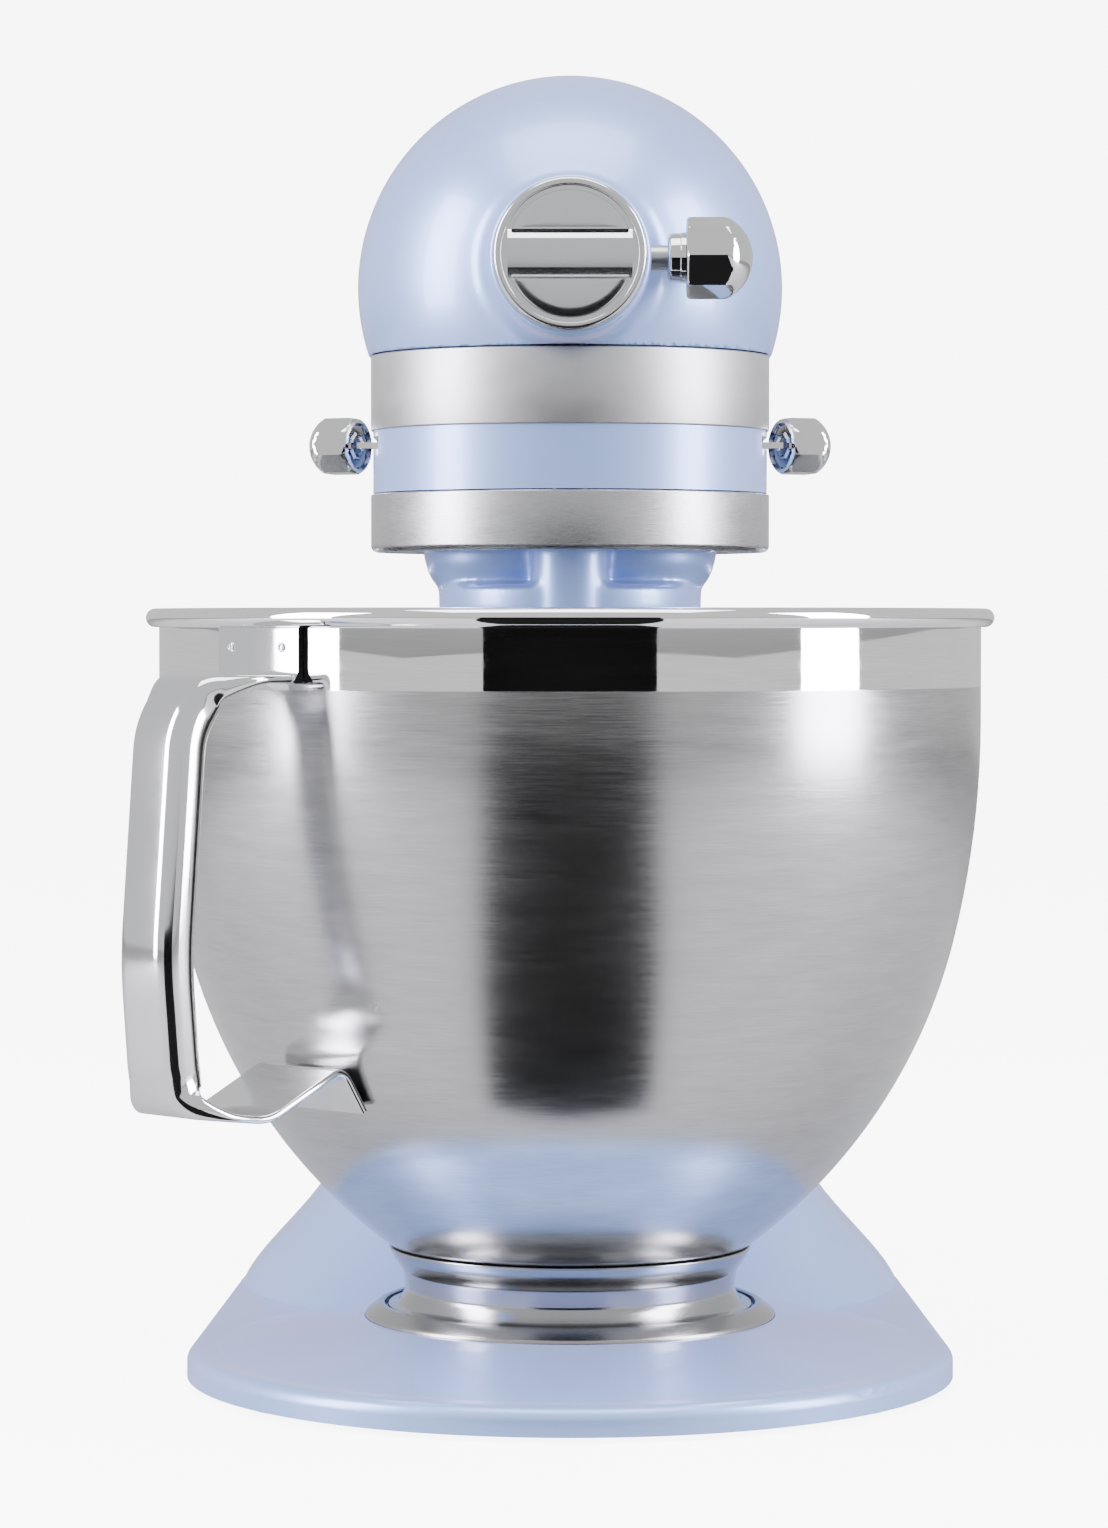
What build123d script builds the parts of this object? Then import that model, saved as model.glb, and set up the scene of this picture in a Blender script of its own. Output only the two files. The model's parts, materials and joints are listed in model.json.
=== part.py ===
from build123d import *
import math
import os

# Tilt-head stand mixer. X is to the right, Y to the rear, Z up, millimetres.
# Every sub-part is drawn about the bowl's axis and moved to the part's own origin,
# the middle of the whole object's footprint, when it is written.
AXIS_Y = -67.0

# bowl
WALL_R = 109.4
SHEET = 1.3
WALL_FOOT_Z = 176.0
UPPER_ARC = 244.0
UPPER_TURN = 13.8
LOWER_ARC = 144.6
LOWER_TURN = 53.0
HEEL_ARC = 25.0
RIM_R = 110.4
RIM_Z = 203.4
RIM_ROLL = 2.5
FOOT_GAP = 0.3

# bowl handle, at 45 degrees between the front and the left side
HANDLE_ANGLE = 225.0
HANDLE_LOW = 187.0
HANDLE_HIGH = 201.0
GRIP_WIDTH = 20.0
GRIP_DEPTH = 11.5
GRIP_CORNER = 4.5
GRIP_BEND = 9.5
STRAP_WIDTH = 30.0
STRAP = 2.0

# base
BASE_R = 102.5
BASE_REAR_Y = 124.0
BASE_REAR_R = 98.0
BASE_BOTTOM = 1.5
BASE_EDGE_Z = 9.0
CASTING = 4.5
SEAT_R = 55.0
SEAT_Z = 15.0
SEAT_TOP = 17.8
COLUMN_FOOT_Z = 36.0
COLUMN_TOP_Z = 213.0
COLUMN_HALF = 38.5
COLUMN_FRONT = 118.0
COLUMN_REAR = 204.0

# head hinge
HINGE_Y = 190.0
HINGE_Z = 224.0
HINGE_R = 14.0
HINGE_PIN_R = 5.0
LUG_HALF = 23.5
NECK = [(213.5, COLUMN_HALF, COLUMN_FRONT), (225, 39.5, 117.4), (232, 43, 115), (238.5, 49, 106)]

# head: a ball-ended body about an axis a little below the drive's
DRIVE_Z = 294.3
CROWN_Z = 290.8
HEAD_R = 56.5
HEAD_MID = 120.0
HEAD_MID_R = 55.2
HEAD_TAPER_END = 236.0
HEAD_TAPER_R = 48.6
HEAD_REAR = 246.0
HEAD_END_R = 37.0
COVER_SPLIT = 232.0
COVER_GAP = 0.4
COVER_SCREW_Z = CROWN_Z + 31.0
INLET_X = -20.0
INLET_Z = 284.0
INLET_R = 6.0
HEAD_WALL = 3.5
PLAN_STRAIGHT_Y = 40.0
PLAN_MID = (49.5, 150.0)
PLAN_REAR = (45.0, 226.0)
PLAN_END_X = 30.0
PLAN_END_Y = 243.0
BARREL_R = 53.1
BAND_LOW = 253.0
BAND_HIGH = 273.0
BAND = 1.5
BAND_RECESS = BAND + 0.1
CASE_LOW = 236.5
CASE_INSET = 0.6
CASE_FLOOR = 244.0
CASE_DECK = 248.0
CASE_WALL = 4.0
CASE_STEP_Y = 174.0
CASE_STEP_Z = 240.0

# drive
MOTOR_FRONT = 112.0
MOTOR_REAR = 156.0
BRUSH_Y = 181.0
ARMATURE_SHAFT_R = 4.0
ARMATURE_R = 21.0
COUNTER_R = 3.45
BEVEL_TEETH = 16
BEVEL_R = 11.9
BEVEL_FACE = 5.0
BEVEL_Z = 281.8
PIN_R = 1.6
PIN_Z = 217.0
CROSS_PIN_Z = 194.0
SHAFT_LOW = 212.0
DISC_R = 51.6
DISC_LOW = 222.4
DISC_TOP = 236.2
BEARING_R = 11.0
HUB_SHAFT_R = 5.0
HUB_BEVEL_Y = -12.9
BRUSH_R = 3.5
BRUSH_CAP_R = 8.0
LEVER_PIN_R = 2.95
GEAR_MODULE = 1.5
RING_TEETH = 54
PLANET_TEETH = 18
PLANET_OFFSET = GEAR_MODULE * (RING_TEETH - PLANET_TEETH) / 2
TRAIN_MODULE = 1.25
CENTRE_TEETH = 36
PINION_TEETH = 14
WHEEL_TEETH = 24
WORM_OFFSET = 21.7
TRAIN_REACH = TRAIN_MODULE * (CENTRE_TEETH + PINION_TEETH) / 2
COUNTER_X = -WORM_OFFSET
COUNTER_Y = math.sqrt(TRAIN_REACH**2 - WORM_OFFSET**2)
AGITATOR_R = 6.35
AGITATOR_TIP = 172.0
RUN_FIT = 0.05
SCREW_ROOM = 0.08
SHAFT_R = 6.0

# front hub
HUB_R = 20.6
HUB_FACE = -72.0
HUB_BORE_R = 12.5
HUB_SLEEVE_R = 15.0
COVER_R = 19.2
COVER_BACK = HUB_FACE - 0.3
COVER_FRONT = -78.0
COVER_DISC_R = 15.9
COVER_GROOVE_R = 17.2
COVER_BAR = 3.6
COVER_PIVOT_Y = -74.6
COVER_PIVOT_Z = DRIVE_Z + 17.5
COVER_PIN_R = 0.7
COVER_EAR_R = 1.5
COVER_EAR_X = 4.4
KNOB_Y = -62.0
KNOB_R = 10.45
KNOB_X = 29.4
KNOB_LONG = 16.9
KNOB_SHANK_R = 3.25
KNOB_STUD_R = 2.0

# levers
LEVER_PIVOT_X = 24.0
LEVER_PIVOT_Y = 4.0
LEVER_ANGLE = 27.0
LEVER_LOW = 249.2
LEVER_HIGH = 250.8
LEVER_REACH = 40.5
LEVER_HALF = 4.0
LEVER_KNOB_X = 37.0
LEVER_KNOB_R = 8.1
LEVER_KNOB_LONG = 14.6

# screws and their places
M3_R = 1.5
M4_R = 2.0
M6_R = 3.0
FEET = [(-72, -52), (72, -52), (-72, 120), (72, 120), (0, 200)]
FOOT_R = 9.0
FOOT_TOP = 4.0
COLUMN_BOLTS = [(-44, 106), (44, 106), (-44, 190), (44, 190)]
HOUSING_SCREWS = [(-43.5, 52), (43.5, 52), (-39.5, 196), (39.5, 196)]
HEAD_REST_Y = 136.0
LOCK_PIN_X = -12.0
LOCK_PIN_Z = 226.0
LOCK_PIN_R = 3.0
BOWL_CLAMP_R = 30.0
RING_SCREW_R = 46.0
SIDES = (-1, 1)


# ---- simple solids --------------------------------------------------------------------

def rod_z(radius, x, y, low, high):
    return Pos(x, y, (low + high) / 2) * Cylinder(radius, high - low)


def rod_y(radius, x, z, front, rear):
    return Pos(x, (front + rear) / 2, z) * Rot(90, 0, 0) * Cylinder(radius, rear - front)


def rod_x(radius, y, z, left, right):
    return Pos((left + right) / 2, y, z) * Rot(0, 90, 0) * Cylinder(radius, right - left)


def block(left, right, front, rear, low, high):
    size = Box(right - left, rear - front, high - low)
    return Pos((left + right) / 2, (front + rear) / 2, (low + high) / 2) * size


def tube_z(outer, inner, low, high):
    return rod_z(outer, 0, 0, low, high) - rod_z(inner, 0, 0, low - 1, high + 1)


def turned(points):
    return revolve(Plane.XZ * make_face(Polyline(*points, close=True)), Axis.Z)


def polar(radius, degrees):
    turn = math.radians(degrees)
    return radius * math.cos(turn), radius * math.sin(turn)


def group(shapes):
    return Compound(children=list(shapes))


# ---- gears ----------------------------------------------------------------------------

def tooth_outline(teeth, root_r, tip_r, first):
    step = 360.0 / teeth
    points = []
    for tooth in range(teeth):
        middle = first + tooth * step
        points.append(polar(root_r, middle - 0.29 * step))
        points.append(polar(tip_r, middle - 0.12 * step))
        points.append(polar(tip_r, middle + 0.12 * step))
        points.append(polar(root_r, middle + 0.29 * step))
    return make_face(Polyline(*points, close=True))


def spur_gear(teeth, module, bore, low, high, first):
    pitch_r = teeth * module / 2
    outline = tooth_outline(teeth, pitch_r - 1.1 * module, pitch_r + 0.75 * module, first)
    solid = Pos(0, 0, low) * extrude(outline, high - low)
    return solid - rod_z(bore, 0, 0, low - 1, high + 1)


def ring_gear():
    pitch_r = RING_TEETH * GEAR_MODULE / 2
    gap_at_planet = -90 + 180.0 / RING_TEETH
    root_r = pitch_r + 1.1 * GEAR_MODULE
    tip_r = pitch_r - 0.75 * GEAR_MODULE
    hollow = tooth_outline(RING_TEETH, root_r, tip_r, gap_at_planet)
    ring = rod_z(50.0, 0, 0, 237.5, CASE_FLOOR) - Pos(0, 0, 236) * extrude(hollow, 10)
    for x, y in ring_screw_places():
        ring -= rod_z(M3_R + SCREW_ROOM, x, y, 237, 245)
    return ring


def ring_screw_places():
    return [polar(RING_SCREW_R, 20 + 72 * place) for place in range(5)]


# ---- bowl -----------------------------------------------------------------------------

def shifted(point, distance, degrees):
    dx, dy = polar(distance, degrees)
    return point[0] + dx, point[1] + dy


def heel_centre():
    upper = (WALL_R - UPPER_ARC, WALL_FOOT_Z)
    lower = shifted(upper, UPPER_ARC - LOWER_ARC, -UPPER_TURN)
    return shifted(lower, LOWER_ARC - HEEL_ARC, -LOWER_TURN)


def bowl_section(inset):
    upper = (WALL_R - UPPER_ARC, WALL_FOOT_Z)
    lower = shifted(upper, UPPER_ARC - LOWER_ARC, -UPPER_TURN)
    heel = heel_centre()
    wall = Line((WALL_R - inset, RIM_Z), (WALL_R - inset, WALL_FOOT_Z))
    first = CenterArc(upper, UPPER_ARC - inset, 0, -UPPER_TURN)
    second = CenterArc(lower, LOWER_ARC - inset, -UPPER_TURN, UPPER_TURN - LOWER_TURN)
    third = CenterArc(heel, HEEL_ARC - inset, -LOWER_TURN, LOWER_TURN - 90)
    floor_z = heel[1] - HEEL_ARC + inset
    floor = Line((heel[0], floor_z), (0, floor_z))
    back = Polyline((0, floor_z), (0, RIM_Z), (WALL_R - inset, RIM_Z))
    return make_face(Wire([wall, first, second, third, floor] + list(back.edges())))


def bowl_shell():
    section = bowl_section(0) - bowl_section(SHEET) + Pos(RIM_R, RIM_Z) * Circle(RIM_ROLL)
    return revolve(Plane.XZ * section, Axis.Z)


def bowl_foot():
    # its top edge follows the bowl's heel, just clear of it
    reach = HEEL_ARC + FOOT_GAP
    top_in, top_mid, top_out = [shifted(heel_centre(), reach, -turn) for turn in (70, 61, LOWER_TURN)]
    seat = ThreePointArc(top_in, top_mid, top_out)
    side = Polyline(top_out, (49.2, 35.8), (45.2, 31.0), (44.0, 24.5), (46.2, 20.8), (48.8, 20.3),
                    (48.8, 18.3), (44.0, 18.3), (42.4, 22.0), top_in)
    return revolve(Plane.XZ * make_face([seat, side]), Axis.Z)


def bowl_handle():
    # drawn in the plane of the X axis and the Z axis, then turned to its place
    half = STRAP_WIDTH / 2
    ring = rod_z(WALL_R + STRAP, 0, 0, HANDLE_LOW, HANDLE_HIGH)
    ring -= rod_z(WALL_R, 0, 0, HANDLE_LOW - 1, HANDLE_HIGH + 1)
    flange = ring & block(100, 120, -half, half, HANDLE_LOW, HANDLE_HIGH)
    top_strap = block(WALL_R + 0.6, 131, -half, half, HANDLE_LOW, HANDLE_LOW + STRAP)
    start = (127, 183.3)
    path = FilletPolyline(start, (139.2, 183.3), (143.8, 119), (141.2, 87), (128, 84.6), radius=GRIP_BEND)
    across = Plane(origin=(start[0], 0, start[1]), x_dir=(0, 1, 0), z_dir=(1, 0, 0))
    grip = sweep(across * RectangleRounded(GRIP_WIDTH, GRIP_DEPTH, GRIP_CORNER), Plane.XZ * path)
    low_line = Polyline((131, 80.4), (119, 78), (94.6, 88.5), (88.4, 77), (86.9, 78.4), (94.0, 91.2),
                        (119.4, 80.2), (131, 82.6), close=True)
    low_strap = extrude(Plane.XZ * make_face(low_line), half, both=True)
    return Rot(0, 0, HANDLE_ANGLE) * (flange + top_strap + grip + low_strap)


# ---- base and column ------------------------------------------------------------------

def base_plan(inset=0.0):
    front = CenterArc((0, 0), BASE_R - inset, 180, 180)
    rear = CenterArc((0, BASE_REAR_Y), BASE_REAR_R - inset, 0, 180)
    sides = [Line(front @ 1, rear @ 0), Line(rear @ 1, front @ 0)]
    return make_face([front, rear] + sides)


def mound_section(z, half, front, rear, corner):
    outline = RectangleRounded(2 * half, rear - front, corner)
    return Pos(0, (front + rear) / 2, z) * outline


MOUND = [(BASE_EDGE_Z - 1, 96.5, 26, 221, 95), (17, 90, 46, 220, 82), (25, 82, 60, 219, 68),
         (COLUMN_FOOT_Z, 73, 74, 218, 56)]
COLUMN = [(COLUMN_FOOT_Z, 73, 74, 218, 56), (60, 60, 95, 215, 46), (90, 50, 105, 212.5, 38),
          (130, 43, 113, 208.5, 31), (170, 39.6, 116.4, 206, 26),
          (COLUMN_TOP_Z, COLUMN_HALF, COLUMN_FRONT, COLUMN_REAR, 24)]


def lofted(sections, inset=0.0):
    faces = []
    for z, half, front, rear, corner in sections:
        faces.append(mound_section(z, half - inset, front + inset, rear - inset, corner - inset))
    return loft(faces)


def base_casting():
    edge = Pos(0, 0, BASE_BOTTOM) * extrude(base_plan(), BASE_EDGE_Z - BASE_BOTTOM)
    edge = fillet(edge.edges().group_by(Axis.Z)[-1], 3.5)
    apron = turned([(0, 5), (98.5, 5), (98.5, 8.2), (57.0, 17.0), (0, 17.0)])
    outside = edge + apron + lofted(MOUND)
    hollow = Pos(0, 0, BASE_BOTTOM - 1) * extrude(base_plan(8), 5)
    lower = [(z - CASTING, half, front, rear, corner) for z, half, front, rear, corner in MOUND]
    hollow += lofted(lower, CASTING)
    for x, y in FEET:
        hollow -= rod_z(FOOT_R + 2, x, y, 0, 60)
    cast = outside - (hollow - rod_z(60, 0, 0, 0, 20))
    cast += block(-62, 62, 86, 208, 30, COLUMN_FOOT_Z) & lofted(MOUND)
    cast -= block(-34, 34, 112, 176, 20, COLUMN_FOOT_Z + 1)
    cast -= rod_z(SEAT_R + 0.1, 0, 0, SEAT_Z, 30)
    for x, y in FEET:
        cast -= rod_z(FOOT_R + SCREW_ROOM, x, y, BASE_BOTTOM - 1, FOOT_TOP)
    for x, y in clamp_screw_places():
        cast -= rod_z(M4_R + SCREW_ROOM, x, y, 8, SEAT_Z + 1)
    for x, y in COLUMN_BOLTS:
        cast -= rod_z(M6_R + SCREW_ROOM, x, y, 28, 40)
    return cast


def clamp_screw_places():
    return [polar(BOWL_CLAMP_R, 30 + 120 * place) for place in range(3)]


def column_casting():
    body = lofted(COLUMN)
    hollow_line = [(z, half, front, rear, corner) for z, half, front, rear, corner in COLUMN[:-1]]
    hollow_line.append((COLUMN_TOP_Z - 13, COLUMN_HALF, COLUMN_FRONT, COLUMN_REAR, 24))
    body -= lofted(hollow_line, CASTING)
    body += block(-56, 56, 92, 206, COLUMN_FOOT_Z, 42) & lofted(COLUMN)
    body -= block(-34, 34, 112, 176, COLUMN_FOOT_Z - 1, 44)
    front, rear = HINGE_Y - HINGE_R, HINGE_Y + HINGE_R
    body += rod_x(HINGE_R, HINGE_Y, HINGE_Z, -COLUMN_HALF, COLUMN_HALF)
    body += block(-COLUMN_HALF, COLUMN_HALF, front, rear, COLUMN_TOP_Z - 8, HINGE_Z)
    room = LUG_HALF + 0.4
    body -= rod_x(HINGE_R + 0.6, HINGE_Y, HINGE_Z, -room, room)
    body -= block(-room, room, 170, HINGE_Y + 30, COLUMN_TOP_Z, 250)
    body -= rod_x(HINGE_PIN_R, HINGE_Y, HINGE_Z, -60, 60)
    body -= rod_z(M6_R + SCREW_ROOM, 0, HEAD_REST_Y, COLUMN_TOP_Z - 12, 230)
    for x, y in COLUMN_BOLTS:
        body -= rod_z(M6_R + SCREW_ROOM, x, y, 30, 43)
    return body


def clamp_plate():
    collar = turned([(0, SEAT_Z), (SEAT_R, SEAT_Z), (SEAT_R, 17.5), (51.2, 23), (49.6, 23),
                     (49.6, SEAT_TOP), (0, SEAT_TOP)])
    for x, y in clamp_screw_places():
        collar -= rod_z(M4_R + SCREW_ROOM, x, y, 10, 20)
    return collar


def clamp_plate_screws():
    screws = []
    for x, y in clamp_screw_places():
        screws.append(rod_z(M4_R, x, y, 9, SEAT_TOP) + rod_z(3.8, x, y, SEAT_TOP, SEAT_TOP + 0.4))
    return group(screws)


def rubber_feet():
    return group(rod_z(FOOT_R, x, y, 0, FOOT_TOP) for x, y in FEET)


def column_bolts():
    return group(rod_z(M6_R, x, y, 28, 41) + rod_z(5.5, x, y, 26, 30) for x, y in COLUMN_BOLTS)


def hinge_pin():
    return rod_x(HINGE_PIN_R, HINGE_Y, HINGE_Z, -COLUMN_HALF, COLUMN_HALF)


def head_rest_screw():
    return rod_z(M6_R, 0, HEAD_REST_Y, COLUMN_TOP_Z - 12, COLUMN_TOP_Z + 0.3)


# ---- head -----------------------------------------------------------------------------

def head_profile(inset):
    # half of the head's side view, from the ball end to the flat tail
    nose = CenterArc((0, CROWN_Z), HEAD_R - inset, 180, -90)
    crest = (0, CROWN_Z + HEAD_R - inset)
    middle = (HEAD_MID, CROWN_Z + HEAD_MID_R - inset)
    brow = (HEAD_TAPER_END - inset, CROWN_Z + HEAD_TAPER_R - inset)
    edge = (HEAD_REAR - inset, CROWN_Z + HEAD_END_R - inset)
    slope = (1, -0.09)
    top = Spline(crest, middle, brow, tangents=[(1, 0), slope])
    tail = Spline(brow, edge, tangents=[slope, (0.1, -1)])
    end = Polyline(edge, (HEAD_REAR - inset, CROWN_Z), (-HEAD_R + inset, CROWN_Z))
    return make_face(Wire([nose, top, tail] + list(end.edges())))


def head_form(inset=0.0):
    return revolve(Plane.YZ * head_profile(inset), Axis((0, 0, CROWN_Z), (0, 1, 0)))


def head_plan(inset=0.0):
    reach = BARREL_R - inset
    middle = (PLAN_MID[0] - inset, PLAN_MID[1])
    rear = (PLAN_REAR[0] - inset, PLAN_REAR[1])
    tail = (PLAN_END_X, PLAN_END_Y - inset)
    slope = (-0.06, 1)
    front = CenterArc((0, 0), reach, 180, 180)
    right = Line((reach, 0), (reach, PLAN_STRAIGHT_Y))
    flank = Spline((reach, PLAN_STRAIGHT_Y), middle, rear, tangents=[(0, 1), slope])
    corner = Spline(rear, tail, tangents=[slope, (-1, 0.12)])
    back = Line(tail, (0, tail[1]))
    half = [right, flank, corner, back]
    return make_face([front] + half + [mirror(line, Plane.YZ) for line in half])


def head_slab(inset, low, high):
    return Pos(0, 0, low) * extrude(head_plan(inset), high - low)


def upper_solid():
    crown = head_form() & block(-80, 80, -90, 260, BAND_HIGH, 360)
    return crown + head_slab(BAND_RECESS, BAND_LOW, BAND_HIGH + 0.5)


def upper_hollow():
    crown = head_form(HEAD_WALL) & block(-80, 80, -90, 260, BAND_HIGH + 1, 360)
    return crown + head_slab(BAND + HEAD_WALL, BAND_LOW - 1, BAND_HIGH + 2)


def cover_ears():
    ears = []
    for side in SIDES:
        left, right = side * COVER_EAR_X - 1.2, side * COVER_EAR_X + 1.2
        low, high = COVER_PIVOT_Z - COVER_EAR_R, COVER_PIVOT_Z + COVER_EAR_R
        ears.append(rod_x(COVER_EAR_R, COVER_PIVOT_Y, COVER_PIVOT_Z, left, right))
        ears.append(block(left, right, COVER_PIVOT_Y, HUB_FACE + 1, low, high))
    return ears


def head_upper_housing():
    shell = upper_solid() + rod_y(HUB_R, 0, DRIVE_Z, HUB_FACE, -38)
    shell -= upper_hollow() - rod_y(HUB_R - 0.6, 0, DRIVE_Z, HUB_FACE, -36)
    shell -= block(-80, 80, COVER_SPLIT, 260, 240, 360)
    shell -= rod_y(HUB_SLEEVE_R, 0, DRIVE_Z, HUB_FACE - 1, -30)
    for ear in cover_ears():
        shell += ear
    shell -= rod_x(COVER_PIN_R, COVER_PIVOT_Y, COVER_PIVOT_Z, -8, 8)
    shell -= rod_x(KNOB_SHANK_R + RUN_FIT, KNOB_Y, DRIVE_Z, HUB_SLEEVE_R - 2, 40)
    shell -= rod_x(BRUSH_CAP_R, BRUSH_Y, DRIVE_Z, -70, 70)
    for x, y in HOUSING_SCREWS:
        shell += rod_z(5, x, y, BAND_LOW, 268) & head_slab(BAND_RECESS, BAND_LOW, 268)
        shell -= rod_z(M4_R + SCREW_ROOM, x, y, BAND_LOW - 1, 265)
    return shell


def housing_screws():
    screws = []
    for x, y in HOUSING_SCREWS:
        shank = rod_z(M4_R, x, y, CASE_DECK - 3, 264)
        screws.append(shank + rod_z(3.6, x, y, CASE_DECK - 4.5, CASE_DECK - 2))
    return group(screws)


def trim_band():
    return head_slab(0, BAND_LOW, BAND_HIGH) - head_slab(BAND, BAND_LOW - 1, BAND_HIGH + 1)


def rear_cover():
    cap = upper_solid() & block(-80, 80, COVER_SPLIT + COVER_GAP, 260, BAND_LOW, 360)
    cap -= upper_hollow() & block(-80, 80, 200, 260, BAND_LOW + 3, 360)
    cap += rod_y(5, 0, COVER_SCREW_Z, COVER_SPLIT + 1, HEAD_REAR - 3) & head_form(1)
    cap -= rod_y(M4_R + SCREW_ROOM, 0, COVER_SCREW_Z, 220, 260)
    return cap - rod_y(INLET_R + SCREW_ROOM, INLET_X, INLET_Z, 220, 260)


def rear_cover_screw():
    shank = rod_y(M4_R, 0, COVER_SCREW_Z, 236, HEAD_REAR + 0.6)
    return shank + rod_y(4, 0, COVER_SCREW_Z, HEAD_REAR, HEAD_REAR + 1)


def cord_inlet_grommet():
    inner = HEAD_REAR - HEAD_WALL
    rim = HEAD_REAR + 1.4
    grommet = rod_y(INLET_R, INLET_X, INLET_Z, inner - 3.5, rim)
    grommet += rod_y(INLET_R + 2, INLET_X, INLET_Z, HEAD_REAR, rim)
    grommet += rod_y(INLET_R + 2, INLET_X, INLET_Z, inner - 3.5, inner)
    return grommet - rod_y(3.6, INLET_X, INLET_Z, 230, 260)


def case_neck():
    neck = loft([mound_section(z, half, front, COLUMN_REAR, 24) for z, half, front in NECK])
    return neck - block(-80, 80, CASE_STEP_Y, 260, 200, 260)


def case_lug():
    lug = rod_x(HINGE_R, HINGE_Y, HINGE_Z, -LUG_HALF, LUG_HALF)
    lug += block(-LUG_HALF, LUG_HALF, HINGE_Y - HINGE_R, HINGE_Y + HINGE_R, HINGE_Z, 242)
    return lug + block(-LUG_HALF, LUG_HALF, CASE_STEP_Y - 2, HINGE_Y, 220, 242)


def gearcase():
    tray = head_slab(CASE_INSET, CASE_LOW, BAND_LOW)
    tray -= head_slab(CASE_WALL, CASE_DECK, BAND_LOW + 1)
    tray -= block(-80, 80, CASE_STEP_Y, 260, 230, CASE_STEP_Z)
    tray += case_neck() + case_lug()
    tray -= rod_x(HINGE_PIN_R + RUN_FIT, HINGE_Y, HINGE_Z, -60, 60)
    tray -= rod_z(50.2, 0, 0, CASE_LOW - 1, CASE_FLOOR)
    tray -= rod_z(BEARING_R, 0, 0, 240, 250)
    tray -= rod_z(COUNTER_R + RUN_FIT, COUNTER_X, COUNTER_Y, 245.5, 250)
    for side in SIDES:
        tray -= block(side * 50 - 12, side * 50 + 12, -14, 24, CASE_DECK, LEVER_HIGH + 0.6)
        tray -= rod_z(LEVER_PIN_R + RUN_FIT, side * LEVER_PIVOT_X, LEVER_PIVOT_Y, 245, 250)
    for x, y in HOUSING_SCREWS:
        tray += rod_z(5, x, y, CASE_DECK, BAND_LOW) & head_slab(CASE_WALL - 1, CASE_DECK, BAND_LOW)
        tray -= rod_z(M4_R + SCREW_ROOM, x, y, 240, 260)
        tray -= rod_z(3.6 + SCREW_ROOM, x, y, 230, CASE_DECK - 2)
    for x, y in ring_screw_places():
        tray -= rod_z(M3_R + SCREW_ROOM, x, y, 243, 247.1)
    return tray - rod_y(LOCK_PIN_R + 0.1, LOCK_PIN_X, LOCK_PIN_Z, 120, CASE_STEP_Y - 3)


def ring_gear_screws():
    screws = []
    for x, y in ring_screw_places():
        screws.append(rod_z(M3_R, x, y, 236.9, 247) + rod_z(3, x, y, 236.8, 237.5))
    return group(screws)


def centre_bearing():
    return tube_z(BEARING_R, SHAFT_R + RUN_FIT, CASE_FLOOR, 251)


def hub_sleeve():
    sleeve = rod_y(HUB_SLEEVE_R, 0, DRIVE_Z, HUB_FACE + 0.5, -38)
    sleeve -= rod_y(HUB_BORE_R, 0, DRIVE_Z, HUB_FACE - 1, -54)
    sleeve -= rod_y(HUB_SHAFT_R + RUN_FIT, 0, DRIVE_Z, -60, -30)
    return sleeve - rod_x(KNOB_SHANK_R + RUN_FIT, KNOB_Y, DRIVE_Z, 10, 40)


def hub_cover_hinge_pin():
    return rod_x(COVER_PIN_R, COVER_PIVOT_Y, COVER_PIVOT_Z, -5.6, 5.6)


def motor_stator():
    stack = rod_y(40, 0, DRIVE_Z, MOTOR_FRONT, MOTOR_REAR)
    stack &= block(-38, 38, 110, 160, DRIVE_Z - 33, DRIVE_Z + 33)
    return stack - rod_y(ARMATURE_R + 1, 0, DRIVE_Z, 100, 170)


def stator_coils():
    coils = []
    for side in SIDES:
        low = DRIVE_Z + side * 27 - 4
        coils.append(block(-22, 22, MOTOR_FRONT - 8, MOTOR_FRONT, low, low + 8))
        coils.append(block(-22, 22, MOTOR_REAR, MOTOR_REAR + 8, low, low + 8))
    return group(coils)


def rear_bearing_bracket():
    bracket = rod_y(47, 0, CROWN_Z, 200, 204)
    bracket &= block(-42, 42, 190, 210, CROWN_Z - 15, CROWN_Z + 34)
    bracket += rod_y(12, 0, DRIVE_Z, 196, 208)
    return bracket - rod_y(ARMATURE_SHAFT_R + RUN_FIT, 0, DRIVE_Z, 190, 220)


def front_bearing():
    web = rod_y(14, 0, DRIVE_Z, 72, 78) + block(-10, 10, 72, 78, BAND_LOW, DRIVE_Z - 8)
    return web - rod_y(ARMATURE_SHAFT_R + RUN_FIT, 0, DRIVE_Z, 60, 90)


def brush_holders():
    holders = []
    for side in SIDES:
        holder = rod_x(6, BRUSH_Y, DRIVE_Z, side * 32 - 15, side * 32 + 15)
        holders.append(holder - rod_x(BRUSH_R, BRUSH_Y, DRIVE_Z, -60, 60))
    return group(holders)


def carbon_brushes():
    return group(rod_x(BRUSH_R, BRUSH_Y, DRIVE_Z, side * 21.5 - 8.2, side * 21.5 + 8.2) for side in SIDES)


def brush_caps():
    caps = []
    for side in SIDES:
        cap = rod_x(BRUSH_CAP_R, BRUSH_Y, DRIVE_Z, side * 49.5 - 2.5, side * 49.5 + 2.5)
        slot = block(side * 52 - 1, side * 52 + 1, BRUSH_Y - 9, BRUSH_Y + 9, DRIVE_Z - 1, DRIVE_Z + 1)
        caps.append(cap - slot)
    return group(caps)


def speed_control_board():
    return rod_y(34, 0, DRIVE_Z, 216, 218.5) - rod_y(6, 0, DRIVE_Z, 210, 222)


# ---- turning pieces -------------------------------------------------------------------

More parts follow.
